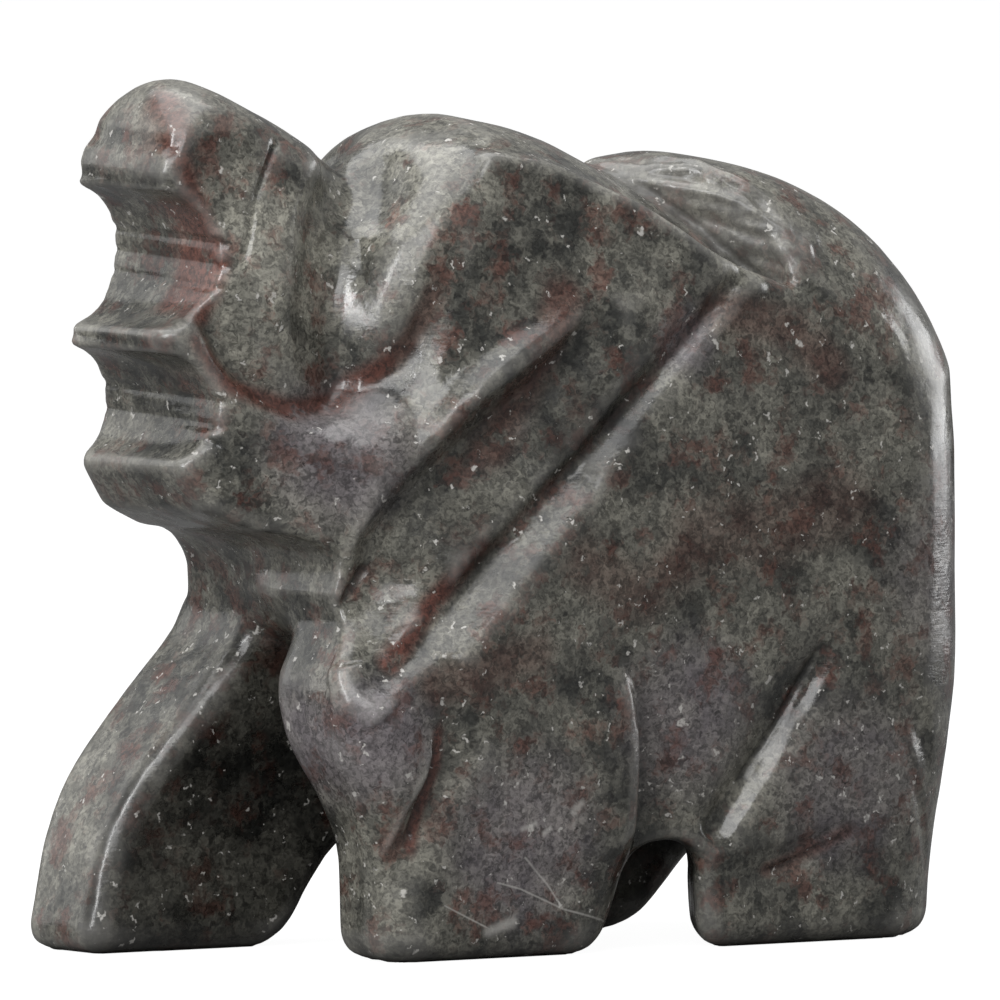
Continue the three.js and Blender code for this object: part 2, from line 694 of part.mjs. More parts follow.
const simplify = ({ corners, triangles }, target) => {
  const quadrics = corners.map(() => new Quadric());
  const around = corners.map(() => new Set());
  triangles.forEach((triangle, index) => {
    const [a, b, c] = triangle.map((corner) => corners[corner]);
    const normal = cross(subtract(b, a), subtract(c, a));
    const size = Math.hypot(...normal);
    if (size > 1e-9) {
      const unit = normal.map((value) => value / size);
      triangle.forEach((corner) => quadrics[corner].plane(unit, -dot(unit, a), size));
    }
    triangle.forEach((corner) => around[corner].add(index));
  });
  const stamps = new Int32Array(corners.length);
  const heap = [];
  const swapUp = (start) => {
    let at = start;
    while (at > 0) {
      const parent = (at - 1) >> 1;
      if (heap[parent].cost <= heap[at].cost) break;
      [heap[parent], heap[at]] = [heap[at], heap[parent]];
      at = parent;
    }
  };
  const takeLeast = () => {
    const top = heap[0];
    const last = heap.pop();
    if (heap.length) {
      heap[0] = last;
      let at = 0;
      for (;;) {
        const left = 2 * at + 1;
        let least = at;
        if (left < heap.length && heap[left].cost < heap[least].cost) least = left;
        if (left + 1 < heap.length && heap[left + 1].cost < heap[least].cost) least = left + 1;
        if (least === at) break;
        [heap[least], heap[at]] = [heap[at], heap[least]];
        at = least;
      }
    }
    return top;
  };
  const offer = (a, b) => {
    const q = new Quadric();
    q.add(quadrics[a]);
    q.add(quadrics[b]);
    const place = bestCorner(q, corners[a], corners[b]);
    const span = Math.hypot(...subtract(corners[a], corners[b]));
    const cost = Math.max(q.error(place), 0) + 1e-7 * span;
    heap.push({ a, b, place, cost, stampA: stamps[a], stampB: stamps[b] });
    swapUp(heap.length - 1);
  };
  const neighbours = (corner) => {
    const found = new Set();
    around[corner].forEach((index) => triangles[index].forEach((other) => found.add(other)));
    found.delete(corner);
    return found;
  };
  corners.forEach((_, corner) => {
    neighbours(corner).forEach((other) => {
      if (corner < other) offer(corner, other);
    });
  });
  // A collapse is refused if it would turn a triangle over, or make a sliver.
  const keepsShape = (corner, gone, place) => {
    for (const index of around[corner]) {
      const triangle = triangles[index];
      if (triangle.includes(gone)) continue;
      const before = triangle.map((other) => corners[other]);
      const after = triangle.map((other) => (other === corner ? place : corners[other]));
      const old = cross(subtract(before[1], before[0]), subtract(before[2], before[0]));
      const now = cross(subtract(after[1], after[0]), subtract(after[2], after[0]));
      const oldSize = Math.hypot(...old);
      const nowSize = Math.hypot(...now);
      const longest = Math.max(...after.map((p, n) => Math.hypot(...subtract(p, after[(n + 1) % 3]))));
      if (nowSize < 0.03 * longest * longest || nowSize < 1e-6) return false;
      if (oldSize > 1e-9 && dot(old, now) < 0.25 * oldSize * nowSize) return false;
    }
    return true;
  };
  let count = triangles.length;
  while (count > target && heap.length) {
    const { a, b, place, stampA, stampB } = takeLeast();
    if (stamps[a] !== stampA || stamps[b] !== stampB) continue;
    const shared = [...around[a]].filter((index) => around[b].has(index));
    const nearB = neighbours(b);
    const common = [...neighbours(a)].filter((corner) => nearB.has(corner));
    if (shared.length !== 2 || common.length !== 2) continue;
    if (!keepsShape(a, b, place) || !keepsShape(b, a, place)) continue;
    corners[a] = place;
    quadrics[a].add(quadrics[b]);
    shared.forEach((index) => {
      triangles[index].forEach((corner) => around[corner].delete(index));
      triangles[index] = null;
    });
    around[b].forEach((index) => {
      triangles[index] = triangles[index].map((corner) => (corner === b ? a : corner));
      around[a].add(index);
    });
    around[b].clear();
    stamps[b] = -1;
    stamps[a] += 1;
    count -= 2;
    neighbours(a).forEach((other) => offer(a, other));
  }
  const kept = triangles.filter(Boolean);
  const numbers = new Map();
  kept.flat().forEach((corner) => {
    if (!numbers.has(corner)) numbers.set(corner, numbers.size);
  });
  return {
    corners: [...numbers.keys()].map((corner) => corners[corner]),
    triangles: kept.map((triangle) => triangle.map((corner) => numbers.get(corner))),
  };
};

const surface = simplify(sampleSurface(elephant, LOW, HIGH, SAMPLE), TRIANGLES);
const points = surface.corners.map(([x, y, z]) => [x, y, Math.abs(z) < SOLE_FLATNESS ? 0 : z]);

const geometry = new THREE.BufferGeometry();
geometry.setAttribute(
  "position",
  new THREE.BufferAttribute(new Float32Array(points.flat().map((value) => value * UNIT)), 3),
);
geometry.setIndex(surface.triangles.flat());
// The origin is under the middle of the carving.
geometry.computeBoundingBox();
const middle = geometry.boundingBox.getCenter(new THREE.Vector3());
geometry.translate(-middle.x, -middle.y, 0);

const carving = new THREE.Mesh(geometry, new THREE.MeshStandardMaterial(STONE));
carving.name = "elephant_carving";

const group = new THREE.Group();
group.add(carving);
export default group;
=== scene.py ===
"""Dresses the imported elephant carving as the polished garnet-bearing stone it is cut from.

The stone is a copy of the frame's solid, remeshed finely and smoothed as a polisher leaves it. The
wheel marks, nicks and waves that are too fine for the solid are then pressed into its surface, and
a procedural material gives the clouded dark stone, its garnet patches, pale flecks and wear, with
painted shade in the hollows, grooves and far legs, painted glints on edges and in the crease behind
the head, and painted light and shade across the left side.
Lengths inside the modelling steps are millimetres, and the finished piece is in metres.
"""

import math

import bpy
import numpy as np
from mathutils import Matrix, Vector, noise


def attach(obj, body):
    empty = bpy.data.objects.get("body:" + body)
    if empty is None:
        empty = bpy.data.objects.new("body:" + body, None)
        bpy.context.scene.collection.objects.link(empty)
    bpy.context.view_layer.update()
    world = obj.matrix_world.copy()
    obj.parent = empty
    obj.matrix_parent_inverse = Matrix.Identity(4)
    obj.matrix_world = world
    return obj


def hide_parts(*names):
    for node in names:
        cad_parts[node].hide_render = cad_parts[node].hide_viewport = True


bl_info = {
    "name": "Garnet elephant carving",
    "version": (1, 0, 0),
    "blender": (4, 5, 0),
    "location": "View3D > Sidebar > Carving",
    "description": "Dresses the packed elephant carving as polished garnet-bearing stone",
    "category": "Object",
}

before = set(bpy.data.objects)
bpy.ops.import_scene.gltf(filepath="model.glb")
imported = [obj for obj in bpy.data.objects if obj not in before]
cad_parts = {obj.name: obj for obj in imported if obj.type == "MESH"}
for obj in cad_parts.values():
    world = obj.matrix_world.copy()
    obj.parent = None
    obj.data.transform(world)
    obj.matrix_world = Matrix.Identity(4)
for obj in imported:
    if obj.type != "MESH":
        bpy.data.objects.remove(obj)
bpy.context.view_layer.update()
CAD_NODE = "elephant_carving"
MM = 0.001


# Sizes and colours


class CarvingSizes(bpy.types.PropertyGroup):
    """How finely the stone is meshed, and how deep its wheel marks are."""

    grain: bpy.props.FloatProperty(
        name="Mesh grain",
        description="Voxel size that the stone is remeshed with, in millimetres",
        default=0.17,
        min=0.12,
        max=0.6,
    )
    polish: bpy.props.IntProperty(
        name="Polish",
        description="Smoothing passes that take the facets off the solid",
        default=14,
        min=0,
        max=60,
    )
    triangles: bpy.props.IntProperty(
        name="Triangles",
        description="Triangles kept in the finished stone",
        default=190000,
        min=20000,
        max=198000,
    )
    mark_depth: bpy.props.FloatProperty(
        name="Mark depth",
        description="How deep the wheel marks are pressed, as a share of their drawn depth",
        default=1.0,
        min=0.0,
        max=1.5,
        subtype="FACTOR",
    )
    wave: bpy.props.FloatProperty(
        name="Hand wave",
        description="Height of the slow waves that hand grinding leaves, in millimetres",
        default=0.07,
        min=0.0,
        max=0.2,
    )


def stone_colour(name, description, default):
    return bpy.props.FloatVectorProperty(
        name=name,
        description=description,
        default=default,
        size=4,
        min=0.0,
        max=1.0,
        subtype="COLOR",
    )


class CarvingColours(bpy.types.PropertyGroup):
    """Colours of the stone and of the stage."""

    dark_stone: stone_colour("Dark stone", "Darkest clouds of the stone", (0.028, 0.029, 0.026, 1))
    grey_stone: stone_colour("Grey stone", "Grey-green clouds of the stone", (0.196, 0.190, 0.160, 1))
    violet_stone: stone_colour("Violet stone", "Purple-grey clouds of the stone", (0.190, 0.166, 0.182, 1))
    # Also the dark red painted shade along the cheek, brow and neck grooves.
    garnet_and_groove_shade: stone_colour("Garnet", "Red-brown garnet patches", (0.098, 0.036, 0.026, 1))
    # Also the painted glints on edges and in the crease behind the head.
    fleck_and_glint: stone_colour("Fleck", "Pale mineral flecks and bruises", (0.72, 0.70, 0.66, 1))
    # Also the painted shade in the hollows.
    speck_and_shade: stone_colour("Speck", "Black mineral specks", (0.012, 0.012, 0.012, 1))
    floor: stone_colour("Floor", "Pale studio floor", (0.16, 0.16, 0.16, 1))


# Wheel marks on the left side that are too fine for the solid. Each is a run of stops (x, z), in
# millimetres, with the half width of the mark and its depth; a negative depth is a raised lip.
SIDE_MARKS = {
    "trunk_scratch": ([(-17.4, 44.1), (-19.2, 41.0)], 0.34, 0.26),
    "trunk_scratch_foot": ([(-19.2, 41.0), (-20.4, 37.6)], 0.45, 0.16),
    "brow_lens": ([(-12.3, 38.8), (-12.7, 37.5)], 0.40, 0.20),
    "lip_pit": ([(-22.4, 28.2), (-21.8, 27.9)], 0.36, 0.22),
    "ear_tip": ([(-15.6, 19.1), (-13.8, 21.4)], 0.45, 0.25),
    "shin_lip": ([(-11.9, 11.8), (-12.3, 10.2), (-13.4, 8.4), (-14.2, 5.7)], 0.40, -0.16),
    "shin_score": ([(-11.6, 12.0), (-11.7, 10.4), (-12.4, 8.6), (-13.0, 6.4)], 0.35, 0.18),
    "hind_score": ([(13.4, 16.2), (10.8, 12.0), (8.4, 8.9)], 0.34, 0.18),
    "knee_lip": ([(15.3, 6.3), (12.0, 4.9), (10.2, 4.4)], 0.40, -0.14),
    "heel_streak": ([(17.5, 13.1), (18.8, 10.7), (20.7, 6.6), (21.6, 4.2)], 0.60, 0.10),
    "heel_ridge": ([(17.0, 11.6), (18.3, 9.4), (19.4, 6.5)], 0.50, -0.08),
    "shoulder_lip": ([(16.3, 36.1), (18.0, 34.9), (19.1, 33.6), (19.8, 32.2)], 0.80, 0.07),
    "leg_edge": ([(0.0, 14.4), (0.8, 11.0), (0.7, 7.8), (0.6, 4.0)], 0.35, -0.06),
    "groove_end_fill": ([(-16.2, 16.2), (-15.7, 14.6), (-14.6, 13.4)], 2.0, -0.45),
}

# Marks seen from above, in the crease behind the head: the same, with stops (x, y).
TOP_MARKS = {
    "crease_floor": ([(6.7, -1.9), (9.4, -6.2), (13.1, -8.9)], 0.55, 0.22),
    "crease_crest": ([(8.6, -2.2), (10.4, -6.2), (12.5, -8.4)], 0.40, -0.14),
    "crease_wall": ([(7.2, -3.2), (10.6, -6.9), (12.1, -8.5)], 0.45, 0.16),
}

# The rough crease behind the head, where the wheel left the stone unpolished, as stops (x, y, z).
CREASE = [(6.6, 0.0, 41.8), (9.0, -4.6, 40.4), (12.6, -8.8, 37.8)]

# Bands across the front of the trunk, from the tip down: height, half width and depth.
TRUNK_BANDS = [
    (44.2, 0.90, 0.18),
    (42.0, 0.80, 0.20),
    (39.0, 0.45, 0.14),
    (37.8, 0.40, 0.10),
    (36.6, 0.40, 0.10),
    (33.4, 0.70, 0.16),
    (30.6, 0.45, 0.12),
    (29.2, 0.45, 0.10),
]


def select_only(obj):
    bpy.ops.object.select_all(action="DESELECT")
    obj.select_set(True)
    bpy.context.view_layer.objects.active = obj


def finish_modifier(obj, kind, name, **values):
    modifier = obj.modifiers.new(name, kind)
    for key, value in values.items():
        setattr(modifier, key, value)
    select_only(obj)
    bpy.ops.object.modifier_apply(modifier=modifier.name)


def read_points(mesh):
    flat = np.empty(len(mesh.vertices) * 3, dtype=np.float64)
    mesh.vertices.foreach_get("co", flat)
    return flat.reshape(-1, 3)


def read_normals(mesh):
    flat = np.empty(len(mesh.vertices) * 3, dtype=np.float32)
    mesh.vertex_normals.foreach_get("vector", flat)
    return flat.reshape(-1, 3).astype(np.float64)


def write_points(mesh, points):
    mesh.vertices.foreach_set("co", np.ascontiguousarray(points, dtype=np.float32).ravel())
    mesh.update()


def read_edges(mesh):
    flat = np.empty(len(mesh.edges) * 2, dtype=np.int64)
    mesh.edges.foreach_get("vertices", flat)
    return flat.reshape(-1, 2)


def spread(values, edges, passes):
    """Averages values over neighbours, the given number of times."""
    count = len(values)
    table = values.reshape(count, -1)
    near = np.bincount(edges.ravel(), minlength=count)[:, None]
    for _ in range(passes):
        total = np.empty_like(table)
        for column in range(table.shape[1]):
            total[:, column] = np.bincount(edges[:, 0], table[edges[:, 1], column], count)
            total[:, column] += np.bincount(edges[:, 1], table[edges[:, 0], column], count)
        table = 0.5 * table + 0.5 * total / np.maximum(near, 1)
    return table.reshape(values.shape)


def ease(low, high, value):
    share = np.clip((value - low) / (high - low), 0, 1)
    return share * share * (3 - 2 * share)


def distance_to_run(points, stops, reach):
    """How far each point lies from a run of stops, and how far along it is; far ones stay at reach."""
    stops = np.asarray(stops, dtype=np.float64)
    nearest = np.full(len(points), reach)
    along = np.zeros(len(points))
    low = stops.min(axis=0) - reach
    high = stops.max(axis=0) + reach
    close = np.flatnonzero(((points > low) & (points < high)).all(axis=1))
    steps = len(stops) - 1
    for index in range(steps):
        start, step = stops[index], stops[index + 1] - stops[index]
        share = np.clip((points[close] - start) @ step / (step @ step), 0, 1)
        away = np.linalg.norm(points[close] - start - share[:, None] * step, axis=1)
        nearer = away < nearest[close]
        nearest[close[nearer]] = away[nearer]
        along[close[nearer]] = (index + share[nearer]) / steps
    return nearest, along


def slow_noise(points, size, seed):
    shift = Vector((seed, -seed * 0.7, seed * 1.3))
    return np.array([noise.noise(Vector(p) / size + shift) for p in points])


# The front of the trunk, where its bands start and are full, and how far they tilt across it.
BAND_START = -19.6
BAND_FULL = -21.4
BAND_TILT = 0.05


def press_marks(points, normals, sizes):
    """Moves the surface in along its normals where the wheel and the polisher left marks."""
    depth = np.zeros(len(points))
    near_side = ease(0.0, 0.3, -normals[:, 1]) * ease(0, -2, points[:, 1])
    for marks, axes, facing in (
        (SIDE_MARKS, [0, 2], near_side),
        (TOP_MARKS, [0, 1], ease(0.0, 0.3, normals[:, 2])),
    ):
        for stops, half_width, deep in marks.values():
            away, along = distance_to_run(points[:, axes], stops, half_width * 2)
            ends = ease(0, 0.12, along) * ease(1, 0.88, along)
            depth += facing * deep * ease(half_width, 0, away) * (0.35 + 0.65 * ends)
    front = ease(BAND_START, BAND_FULL, points[:, 0]) * ease(0.2, 0.6, -normals[:, 0])
    for height, half_width, deep in TRUNK_BANDS:
        tilt = BAND_TILT * points[:, 1]
        depth += front * deep * ease(half_width, 0, np.abs(points[:, 2] - height - tilt))
    return depth * sizes.mark_depth


def hand_wave(points, sizes):
    """Slow waves all over, and ripples along the rough crease behind the head."""
    coarse = slow_noise(points, 5.5, 3.1)
    fine = slow_noise(points, 1.9, 11.7)
    way = np.subtract(CREASE[-1], CREASE[0])
    way /= np.linalg.norm(way)
    broken = slow_noise(points - 0.7 * np.outer(points @ way, way), 0.6, 5.9)
    rough = ease(3.0, 1.4, distance_to_run(points, CREASE, 4.0)[0])
    return sizes.wave * (coarse + 0.3 * fine) + rough * (0.10 * fine + 0.24 * broken)


def stone_attribute(mesh, name, values):
    layer = mesh.attributes.new(name, "FLOAT", "POINT")
    layer.data.foreach_set("value", np.ascontiguousarray(values, dtype=np.float32))


# Node helpers


def node(tree, kind, place=(0, 0), settings=None, **inputs):
    """Adds a node, sets its options, and sets or links its inputs by name or by number."""
    made = tree.nodes.new(kind)
    made.location = place
    for key, value in (settings or {}).items():
        setattr(made, key, value)
    for key, value in inputs.items():
        numbered = key[0] == "i" and key[1:].isdigit()
        socket = made.inputs[int(key[1:]) if numbered else key.replace("_", " ")]
        if isinstance(value, bpy.types.NodeSocket):
            tree.links.new(value, socket)
        else:
            socket.default_value = value
    return made


def maths(tree, operation, a, b=0.0, place=(0, 0), clamp=False):
    settings = {"operation": operation, "use_clamp": clamp}
    return node(tree, "ShaderNodeMath", place, settings, i0=a, i1=b).outputs[0]


def blend_colours(tree, share, first, second, place=(0, 0)):
    made = node(tree, "ShaderNodeMix", place, {"data_type": "RGBA", "clamp_factor": True})
    for socket, value in ((made.inputs[0], share), (made.inputs[6], first), (made.inputs[7], second)):
        if isinstance(value, bpy.types.NodeSocket):
            tree.links.new(value, socket)
        else:
            socket.default_value = value
    return made.outputs[2]


def step_up(tree, value, low, high, place=(0, 0)):
    made = node(
        tree,
        "ShaderNodeMapRange",
        place,
        {"interpolation_type": "SMOOTHSTEP"},
        Value=value,
        From_Min=low,
        From_Max=high,
    )
    return made.outputs[0]


def new_group(name, inputs, outputs):
    group = bpy.data.node_groups.new(name, "ShaderNodeTree")
    for title, kind, default in inputs:
        socket = group.interface.new_socket(title, in_out="INPUT", socket_type=kind)
        if default is not None:
            socket.default_value = default
    for title, kind in outputs:
        group.interface.new_socket(title, in_out="OUTPUT", socket_type=kind)
    start = group.nodes.new("NodeGroupInput")
    start.location = (-900, 0)
    end = group.nodes.new("NodeGroupOutput")
    end.location = (700, 0)
    return group, start, end


FLOAT, VECTOR = "NodeSocketFloat", "NodeSocketVector"


def make_bend_group():
    """Bends places by a noise, so that what is drawn on them has ragged outlines."""
    group, start, end = new_group(
        "bent_places",
        [("Vector", VECTOR, None), ("Size", FLOAT, 0.5), ("Reach", FLOAT, 0.2)],
        [("Vector", VECTOR)],
    )
    scale = maths(group, "DIVIDE", 1.0, start.outputs["Size"], (-700, -200))
    ragged = node(
        group, "ShaderNodeTexNoise", (-500, -100), Vector=start.outputs["Vector"], Scale=scale, Detail=2.0
    )
    middle = node(
        group,
        "ShaderNodeVectorMath",
        (-300, -100),
        {"operation": "SUBTRACT"},
        i0=ragged.outputs["Color"],
        i1=(0.5,) * 3,
    )
    push = node(
        group,
        "ShaderNodeVectorMath",
        (-100, -100),
        {"operation": "SCALE"},
        Vector=middle.outputs[0],
        Scale=start.outputs["Reach"],
    )
    bent = node(
        group,
        "ShaderNodeVectorMath",
        (100, 0),
        {"operation": "ADD"},
        i0=start.outputs["Vector"],
        i1=push.outputs[0],
    )
    group.links.new(bent.outputs[0], end.inputs["Vector"])
    return group


def moved(group, start, place):
    """The group's places moved along by its seed, so that two uses of it differ."""
    return node(
        group,
        "ShaderNodeVectorMath",
        place,
        {"operation": "ADD"},
        i0=start.outputs["Vector"],
        i1=start.outputs["Seed"],
    ).outputs[0]


def make_clouds_group():
    """Soft clouds in the stone: a noise cut between two levels."""
    group, start, end = new_group(
        "stone_clouds",
        [
            ("Vector", VECTOR, None),
            ("Size", FLOAT, 6.0),
            ("Detail", FLOAT, 3.0),
            ("Low", FLOAT, 0.45),
            ("High", FLOAT, 0.6),
            ("Seed", VECTOR, None),
        ],
        [("Mask", FLOAT)],
    )
    scale = maths(group, "DIVIDE", 1.0, start.outputs["Size"], (-700, -200))
    cloud = node(
        group,
        "ShaderNodeTexNoise",
        (-300, 0),
        Vector=moved(group, start, (-500, 0)),
        Scale=scale,
        Detail=start.outputs["Detail"],
        Roughness=0.62,
    )
    low, high = start.outputs["Low"], start.outputs["High"]
    mask = step_up(group, cloud.outputs["Fac"], low, high, (200, 0))
    group.links.new(mask, end.inputs["Mask"])
    return group


def make_grains_group():
    """Separate grains, each of its own size: pale flecks and black specks."""
    group, start, end = new_group(
        "stone_grains",
        [
            ("Vector", VECTOR, None),
            ("Spacing", FLOAT, 1.0),
            ("Share", FLOAT, 0.3),
            ("Radius", FLOAT, 0.2),
            ("Seed", VECTOR, None),
        ],
        [("Mask", FLOAT)],
    )
    scale = maths(group, "DIVIDE", 1.0, start.outputs["Spacing"], (-450, -400))
    cells = node(
        group, "ShaderNodeTexVoronoi", (-250, 0), Vector=moved(group, start, (-450, 0)), Scale=scale
    )
    parts = node(group, "ShaderNodeSeparateColor", (-50, -200), Color=cells.outputs["Color"])
    chosen = maths(group, "LESS_THAN", parts.outputs[0], start.outputs["Share"], (150, -250))
    size = maths(group, "MULTIPLY_ADD", parts.outputs[1], 0.8, (150, -400))
    size.node.inputs[2].default_value = 0.2
    reach = maths(group, "MULTIPLY", size, start.outputs["Radius"], (300, -400))
    edge = maths(group, "MULTIPLY", reach, 0.45, (450, -500))
    inside = step_up(group, cells.outputs["Distance"], reach, edge, (450, 0))
    mask = maths(group, "MULTIPLY", inside, chosen, (600, 0))
    group.links.new(mask, end.inputs["Mask"])
    return group


def make_scored_group():
    """A thin scored line on the left side, between two points given as (x, any, z)."""
    group, start, end = new_group(
        "scored_line",
        [("Vector", VECTOR, None), ("From", VECTOR, None), ("To", VECTOR, None), ("Width", FLOAT, 0.1)],
        [("Mask", FLOAT)],
    )

    def vector(operation, first, second, place):
        return node(group, "ShaderNodeVectorMath", place, {"operation": operation}, i0=first, i1=second)

    offset = vector("SUBTRACT", start.outputs["Vector"], start.outputs["From"], (-700, 100)).outputs[0]
    run = vector("SUBTRACT", start.outputs["To"], start.outputs["From"], (-700, -100)).outputs[0]
    offset = vector("MULTIPLY", offset, (1, 0, 1), (-550, 100)).outputs[0]
    run = vector("MULTIPLY", run, (1, 0, 1), (-550, -100)).outputs[0]
    ahead = vector("DOT_PRODUCT", offset, run, (-400, 100)).outputs["Value"]
    whole = vector("DOT_PRODUCT", run, run, (-400, -100)).outputs["Value"]
    share = maths(group, "DIVIDE", ahead, whole, (-250, 0), clamp=True)
    foot = node(group, "ShaderNodeVectorMath", (-100, -100), {"operation": "SCALE"}, Vector=run, Scale=share)
    away = vector("DISTANCE", offset, foot.outputs[0], (100, 0)).outputs["Value"]
    mask = step_up(group, away, start.outputs["Width"], 0.0, (300, 0))
    axes = node(group, "ShaderNodeSeparateXYZ", (100, -300), Vector=start.outputs["Vector"])
    on_left = maths(group, "LESS_THAN", axes.outputs["Y"], 0.0, (300, -300))
    group.links.new(maths(group, "MULTIPLY", mask, on_left, (500, 0)), end.inputs["Mask"])
    return group


def use_group(tree, group, place, **inputs):
    made = tree.nodes.new("ShaderNodeGroup")
    made.node_tree = group
    made.location = place
    for key, value in inputs.items():
        socket = made.inputs[key]
        if isinstance(value, bpy.types.NodeSocket):
            tree.links.new(value, socket)
        else:
            socket.default_value = value
    return made.outputs[0]


def attribute(tree, name, place):
    return node(tree, "ShaderNodeAttribute", place, {"attribute_name": name}).outputs["Fac"]


# Thin scored lines on the left side, as runs of stops (x, z) with a width, in millimetres.
SCORES = [
    ([(-5.8, 5.5), (-4.2, 4.0), (-3.1, 2.6), (0.4, 1.7)], 0.10),
    ([(-7.4, 4.2), (-5.9, 3.8), (-3.1, 2.6)], 0.09),
    ([(-10.8, 3.1), (-7.8, 1.7)], 0.08),
]

# Chips of pale stone on the left side: (x, z) with a half length and a half height.
CHIPS = [
    ((-2.6, 8.1), 0.22, 0.36),
    ((-5.7, 7.2), 0.40, 0.26),
    ((-4.5, 6.9), 0.18, 0.26),
    ((-7.1, 1.8), 0.80, 0.50),
]


# Layers of pale flecks: spacing in millimetres, share that shows, radius as a share of it, and seed.
FLECK_LAYERS = [
    (0.60, 0.20, 0.34, 5.0),
    (1.10, 0.40, 0.25, 8.0),
]


def most(tree, masks, place):
    """The strongest of several masks. Each joins the rest as soon as it is made, to keep few at once."""
    strongest = None
    for index, mask in enumerate(masks):
        if strongest is None:
            strongest = mask
        else:
            strongest = maths(tree, "MAXIMUM", strongest, mask, (place[0], place[1] - 160 * index))
    return strongest


def stone_with_painted_shading(tree, clouds, place, colours):
    """The stone itself: dark and grey-green clouds, purple-grey areas, garnet, dark red painted shade in the
    grooves, and fine mottling scaled by painted light and shade.
    """

    def cloud(size, detail, low, high, seed, row):
        settings = {"Size": size, "Detail": detail, "Low": low, "High": high, "Seed": (seed,) * 3}
        return use_group(tree, clouds, (-1900, row), Vector=place, **settings)

    broad = maths(tree, "MULTIPLY", cloud(4.6, 1.0, 0.40, 0.60, 7.0, 900), 0.5, (-1700, 900))
    middle = maths(tree, "MULTIPLY", cloud(1.3, 3.0, 0.36, 0.64, 13.0, 700), 0.5, (-1700, 700))
    shade = maths(tree, "ADD", broad, middle, (-1500, 800))
    colour = blend_colours(tree, shade, colours.dark_stone, colours.grey_stone, (-1300, 800))

    seated = maths(tree, "MULTIPLY", attribute(tree, "violet_seat", (-1900, 300)), 0.75, (-1700, 300))
    colour = blend_colours(tree, seated, colour, colours.violet_stone, (-1100, 700))

    # Dark red along the cheek, brow and neck grooves is painted shade; the rest is garnet.
    ragged = cloud(1.2, 2.0, 0.22, 0.46, 24.0, 150)
    ragged_garnet_and_shade = maths(tree, "MULTIPLY", attribute(tree, "garnet_and_groove_shade_seat", (-1900, 0)), ragged, (-1700, 100))
    patches = maths(tree, "MULTIPLY", cloud(2.1, 3.0, 0.50, 0.68, 39.0, -150), 0.7, (-1700, -150))
    garnet_and_groove_shade = maths(tree, "MAXIMUM", ragged_garnet_and_shade, patches, (-1500, 0))
    colour = blend_colours(tree, garnet_and_groove_shade, colour, colours.garnet_and_groove_shade, (-900, 600))

    mottle = maths(tree, "MULTIPLY", cloud(0.34, 1.0, 0.25, 0.75, 56.0, -350), 1.1, (-1700, -350))
    mottle = maths(tree, "ADD", mottle, 0.45, (-1500, -350))
    # Painted light and shade: the mottle's brightness is scaled by the left side's painted tone.
    value = maths(tree, "MULTIPLY", mottle, attribute(tree, "painted_light_and_shade", (-1900, -500)), (-1300, -350))
    return node(tree, "ShaderNodeHueSaturation", (-700, 500), Color=colour, Value=value).outputs[0]


def side_scores(tree, scored, place):
    """One mask of the scored lines and chips on the left side."""

    def line(start, end, width):
        ends = {"From": (start[0], 0, start[1]), "To": (end[0], 0, end[1])}
        return use_group(tree, scored, (-1900, -3200), Vector=place, Width=width, **ends)

    def masks():
        for stops, width in SCORES:
            for start, end in zip(stops, stops[1:]):
                yield line(start, end, width)
        for (x, z), half_length, half_height in CHIPS:
            lift = half_height / 2
            yield line((x - half_length, z - lift), (x + half_length, z + lift), half_height)

    return most(tree, masks(), (-1700, -3200))


def stone_flecks(tree, grains, place):
    """One mask of pale flecks of two sizes."""

    def masks():
        for spacing, share, radius, seed in FLECK_LAYERS:
            settings = {"Spacing": spacing, "Share": share, "Radius": radius, "Seed": (seed,) * 3}
            yield use_group(tree, grains, (-1900, -1500), Vector=place, **settings)

    return most(tree, masks(), (-1700, -1500))


# The drag lines' slope across the side, and how far the relief stands out, in metres.
DRAG_ANGLE = math.radians(42)
RELIEF = 0.06 * MM


def stone_relief(tree, place):
    """Height too fine for the mesh: a pebbled skin and the drag lines of the polishing wheel."""
    skin = node(tree, "ShaderNodeTexNoise", (-1500, -2500), Vector=place, Scale=1.5, Detail=3.0)
    height = maths(tree, "MULTIPLY", skin.outputs["Fac"], 1.2, (-1300, -2500))
    stretch = node(
        tree,
        "ShaderNodeMapping",
        (-1700, -2750),
        Vector=place,
        Rotation=(0.0, DRAG_ANGLE, 0.0),
        Scale=(0.25, 1.0, 5.0),
    )
    drag = node(tree, "ShaderNodeTexNoise", (-1500, -2750), Vector=stretch.outputs[0], Scale=1.6, Detail=2.0)
    lines = maths(tree, "MULTIPLY", drag.outputs["Fac"], 0.3, (-1300, -2750))
    height = maths(tree, "ADD", height, lines, (-950, -2500))
    bump = node(tree, "ShaderNodeBump", (-600, -2300), Height=height, Strength=0.5, Distance=RELIEF)
    return bump.outputs[0]


# How strongly each mark covers the stone's own colour. The hollows' share is painted shade, and the worn
# edges' share is a painted glint.
SPECK_SHARE = 0.7
HOLLOW_SHADE_SHARE = 0.55
GLINT_SHARE = 0.16
FLECK_SHARE = 0.7
SCORE_SHARE = 0.45

# Roughness of the best polish, and what smears, hollows, worn edges and flecks add to it.
POLISHED = 0.17
SMEARED = 0.18
HOLLOW_DULL = 0.25
WORN_DULL = 0.12
FLECK_DULL = 0.15


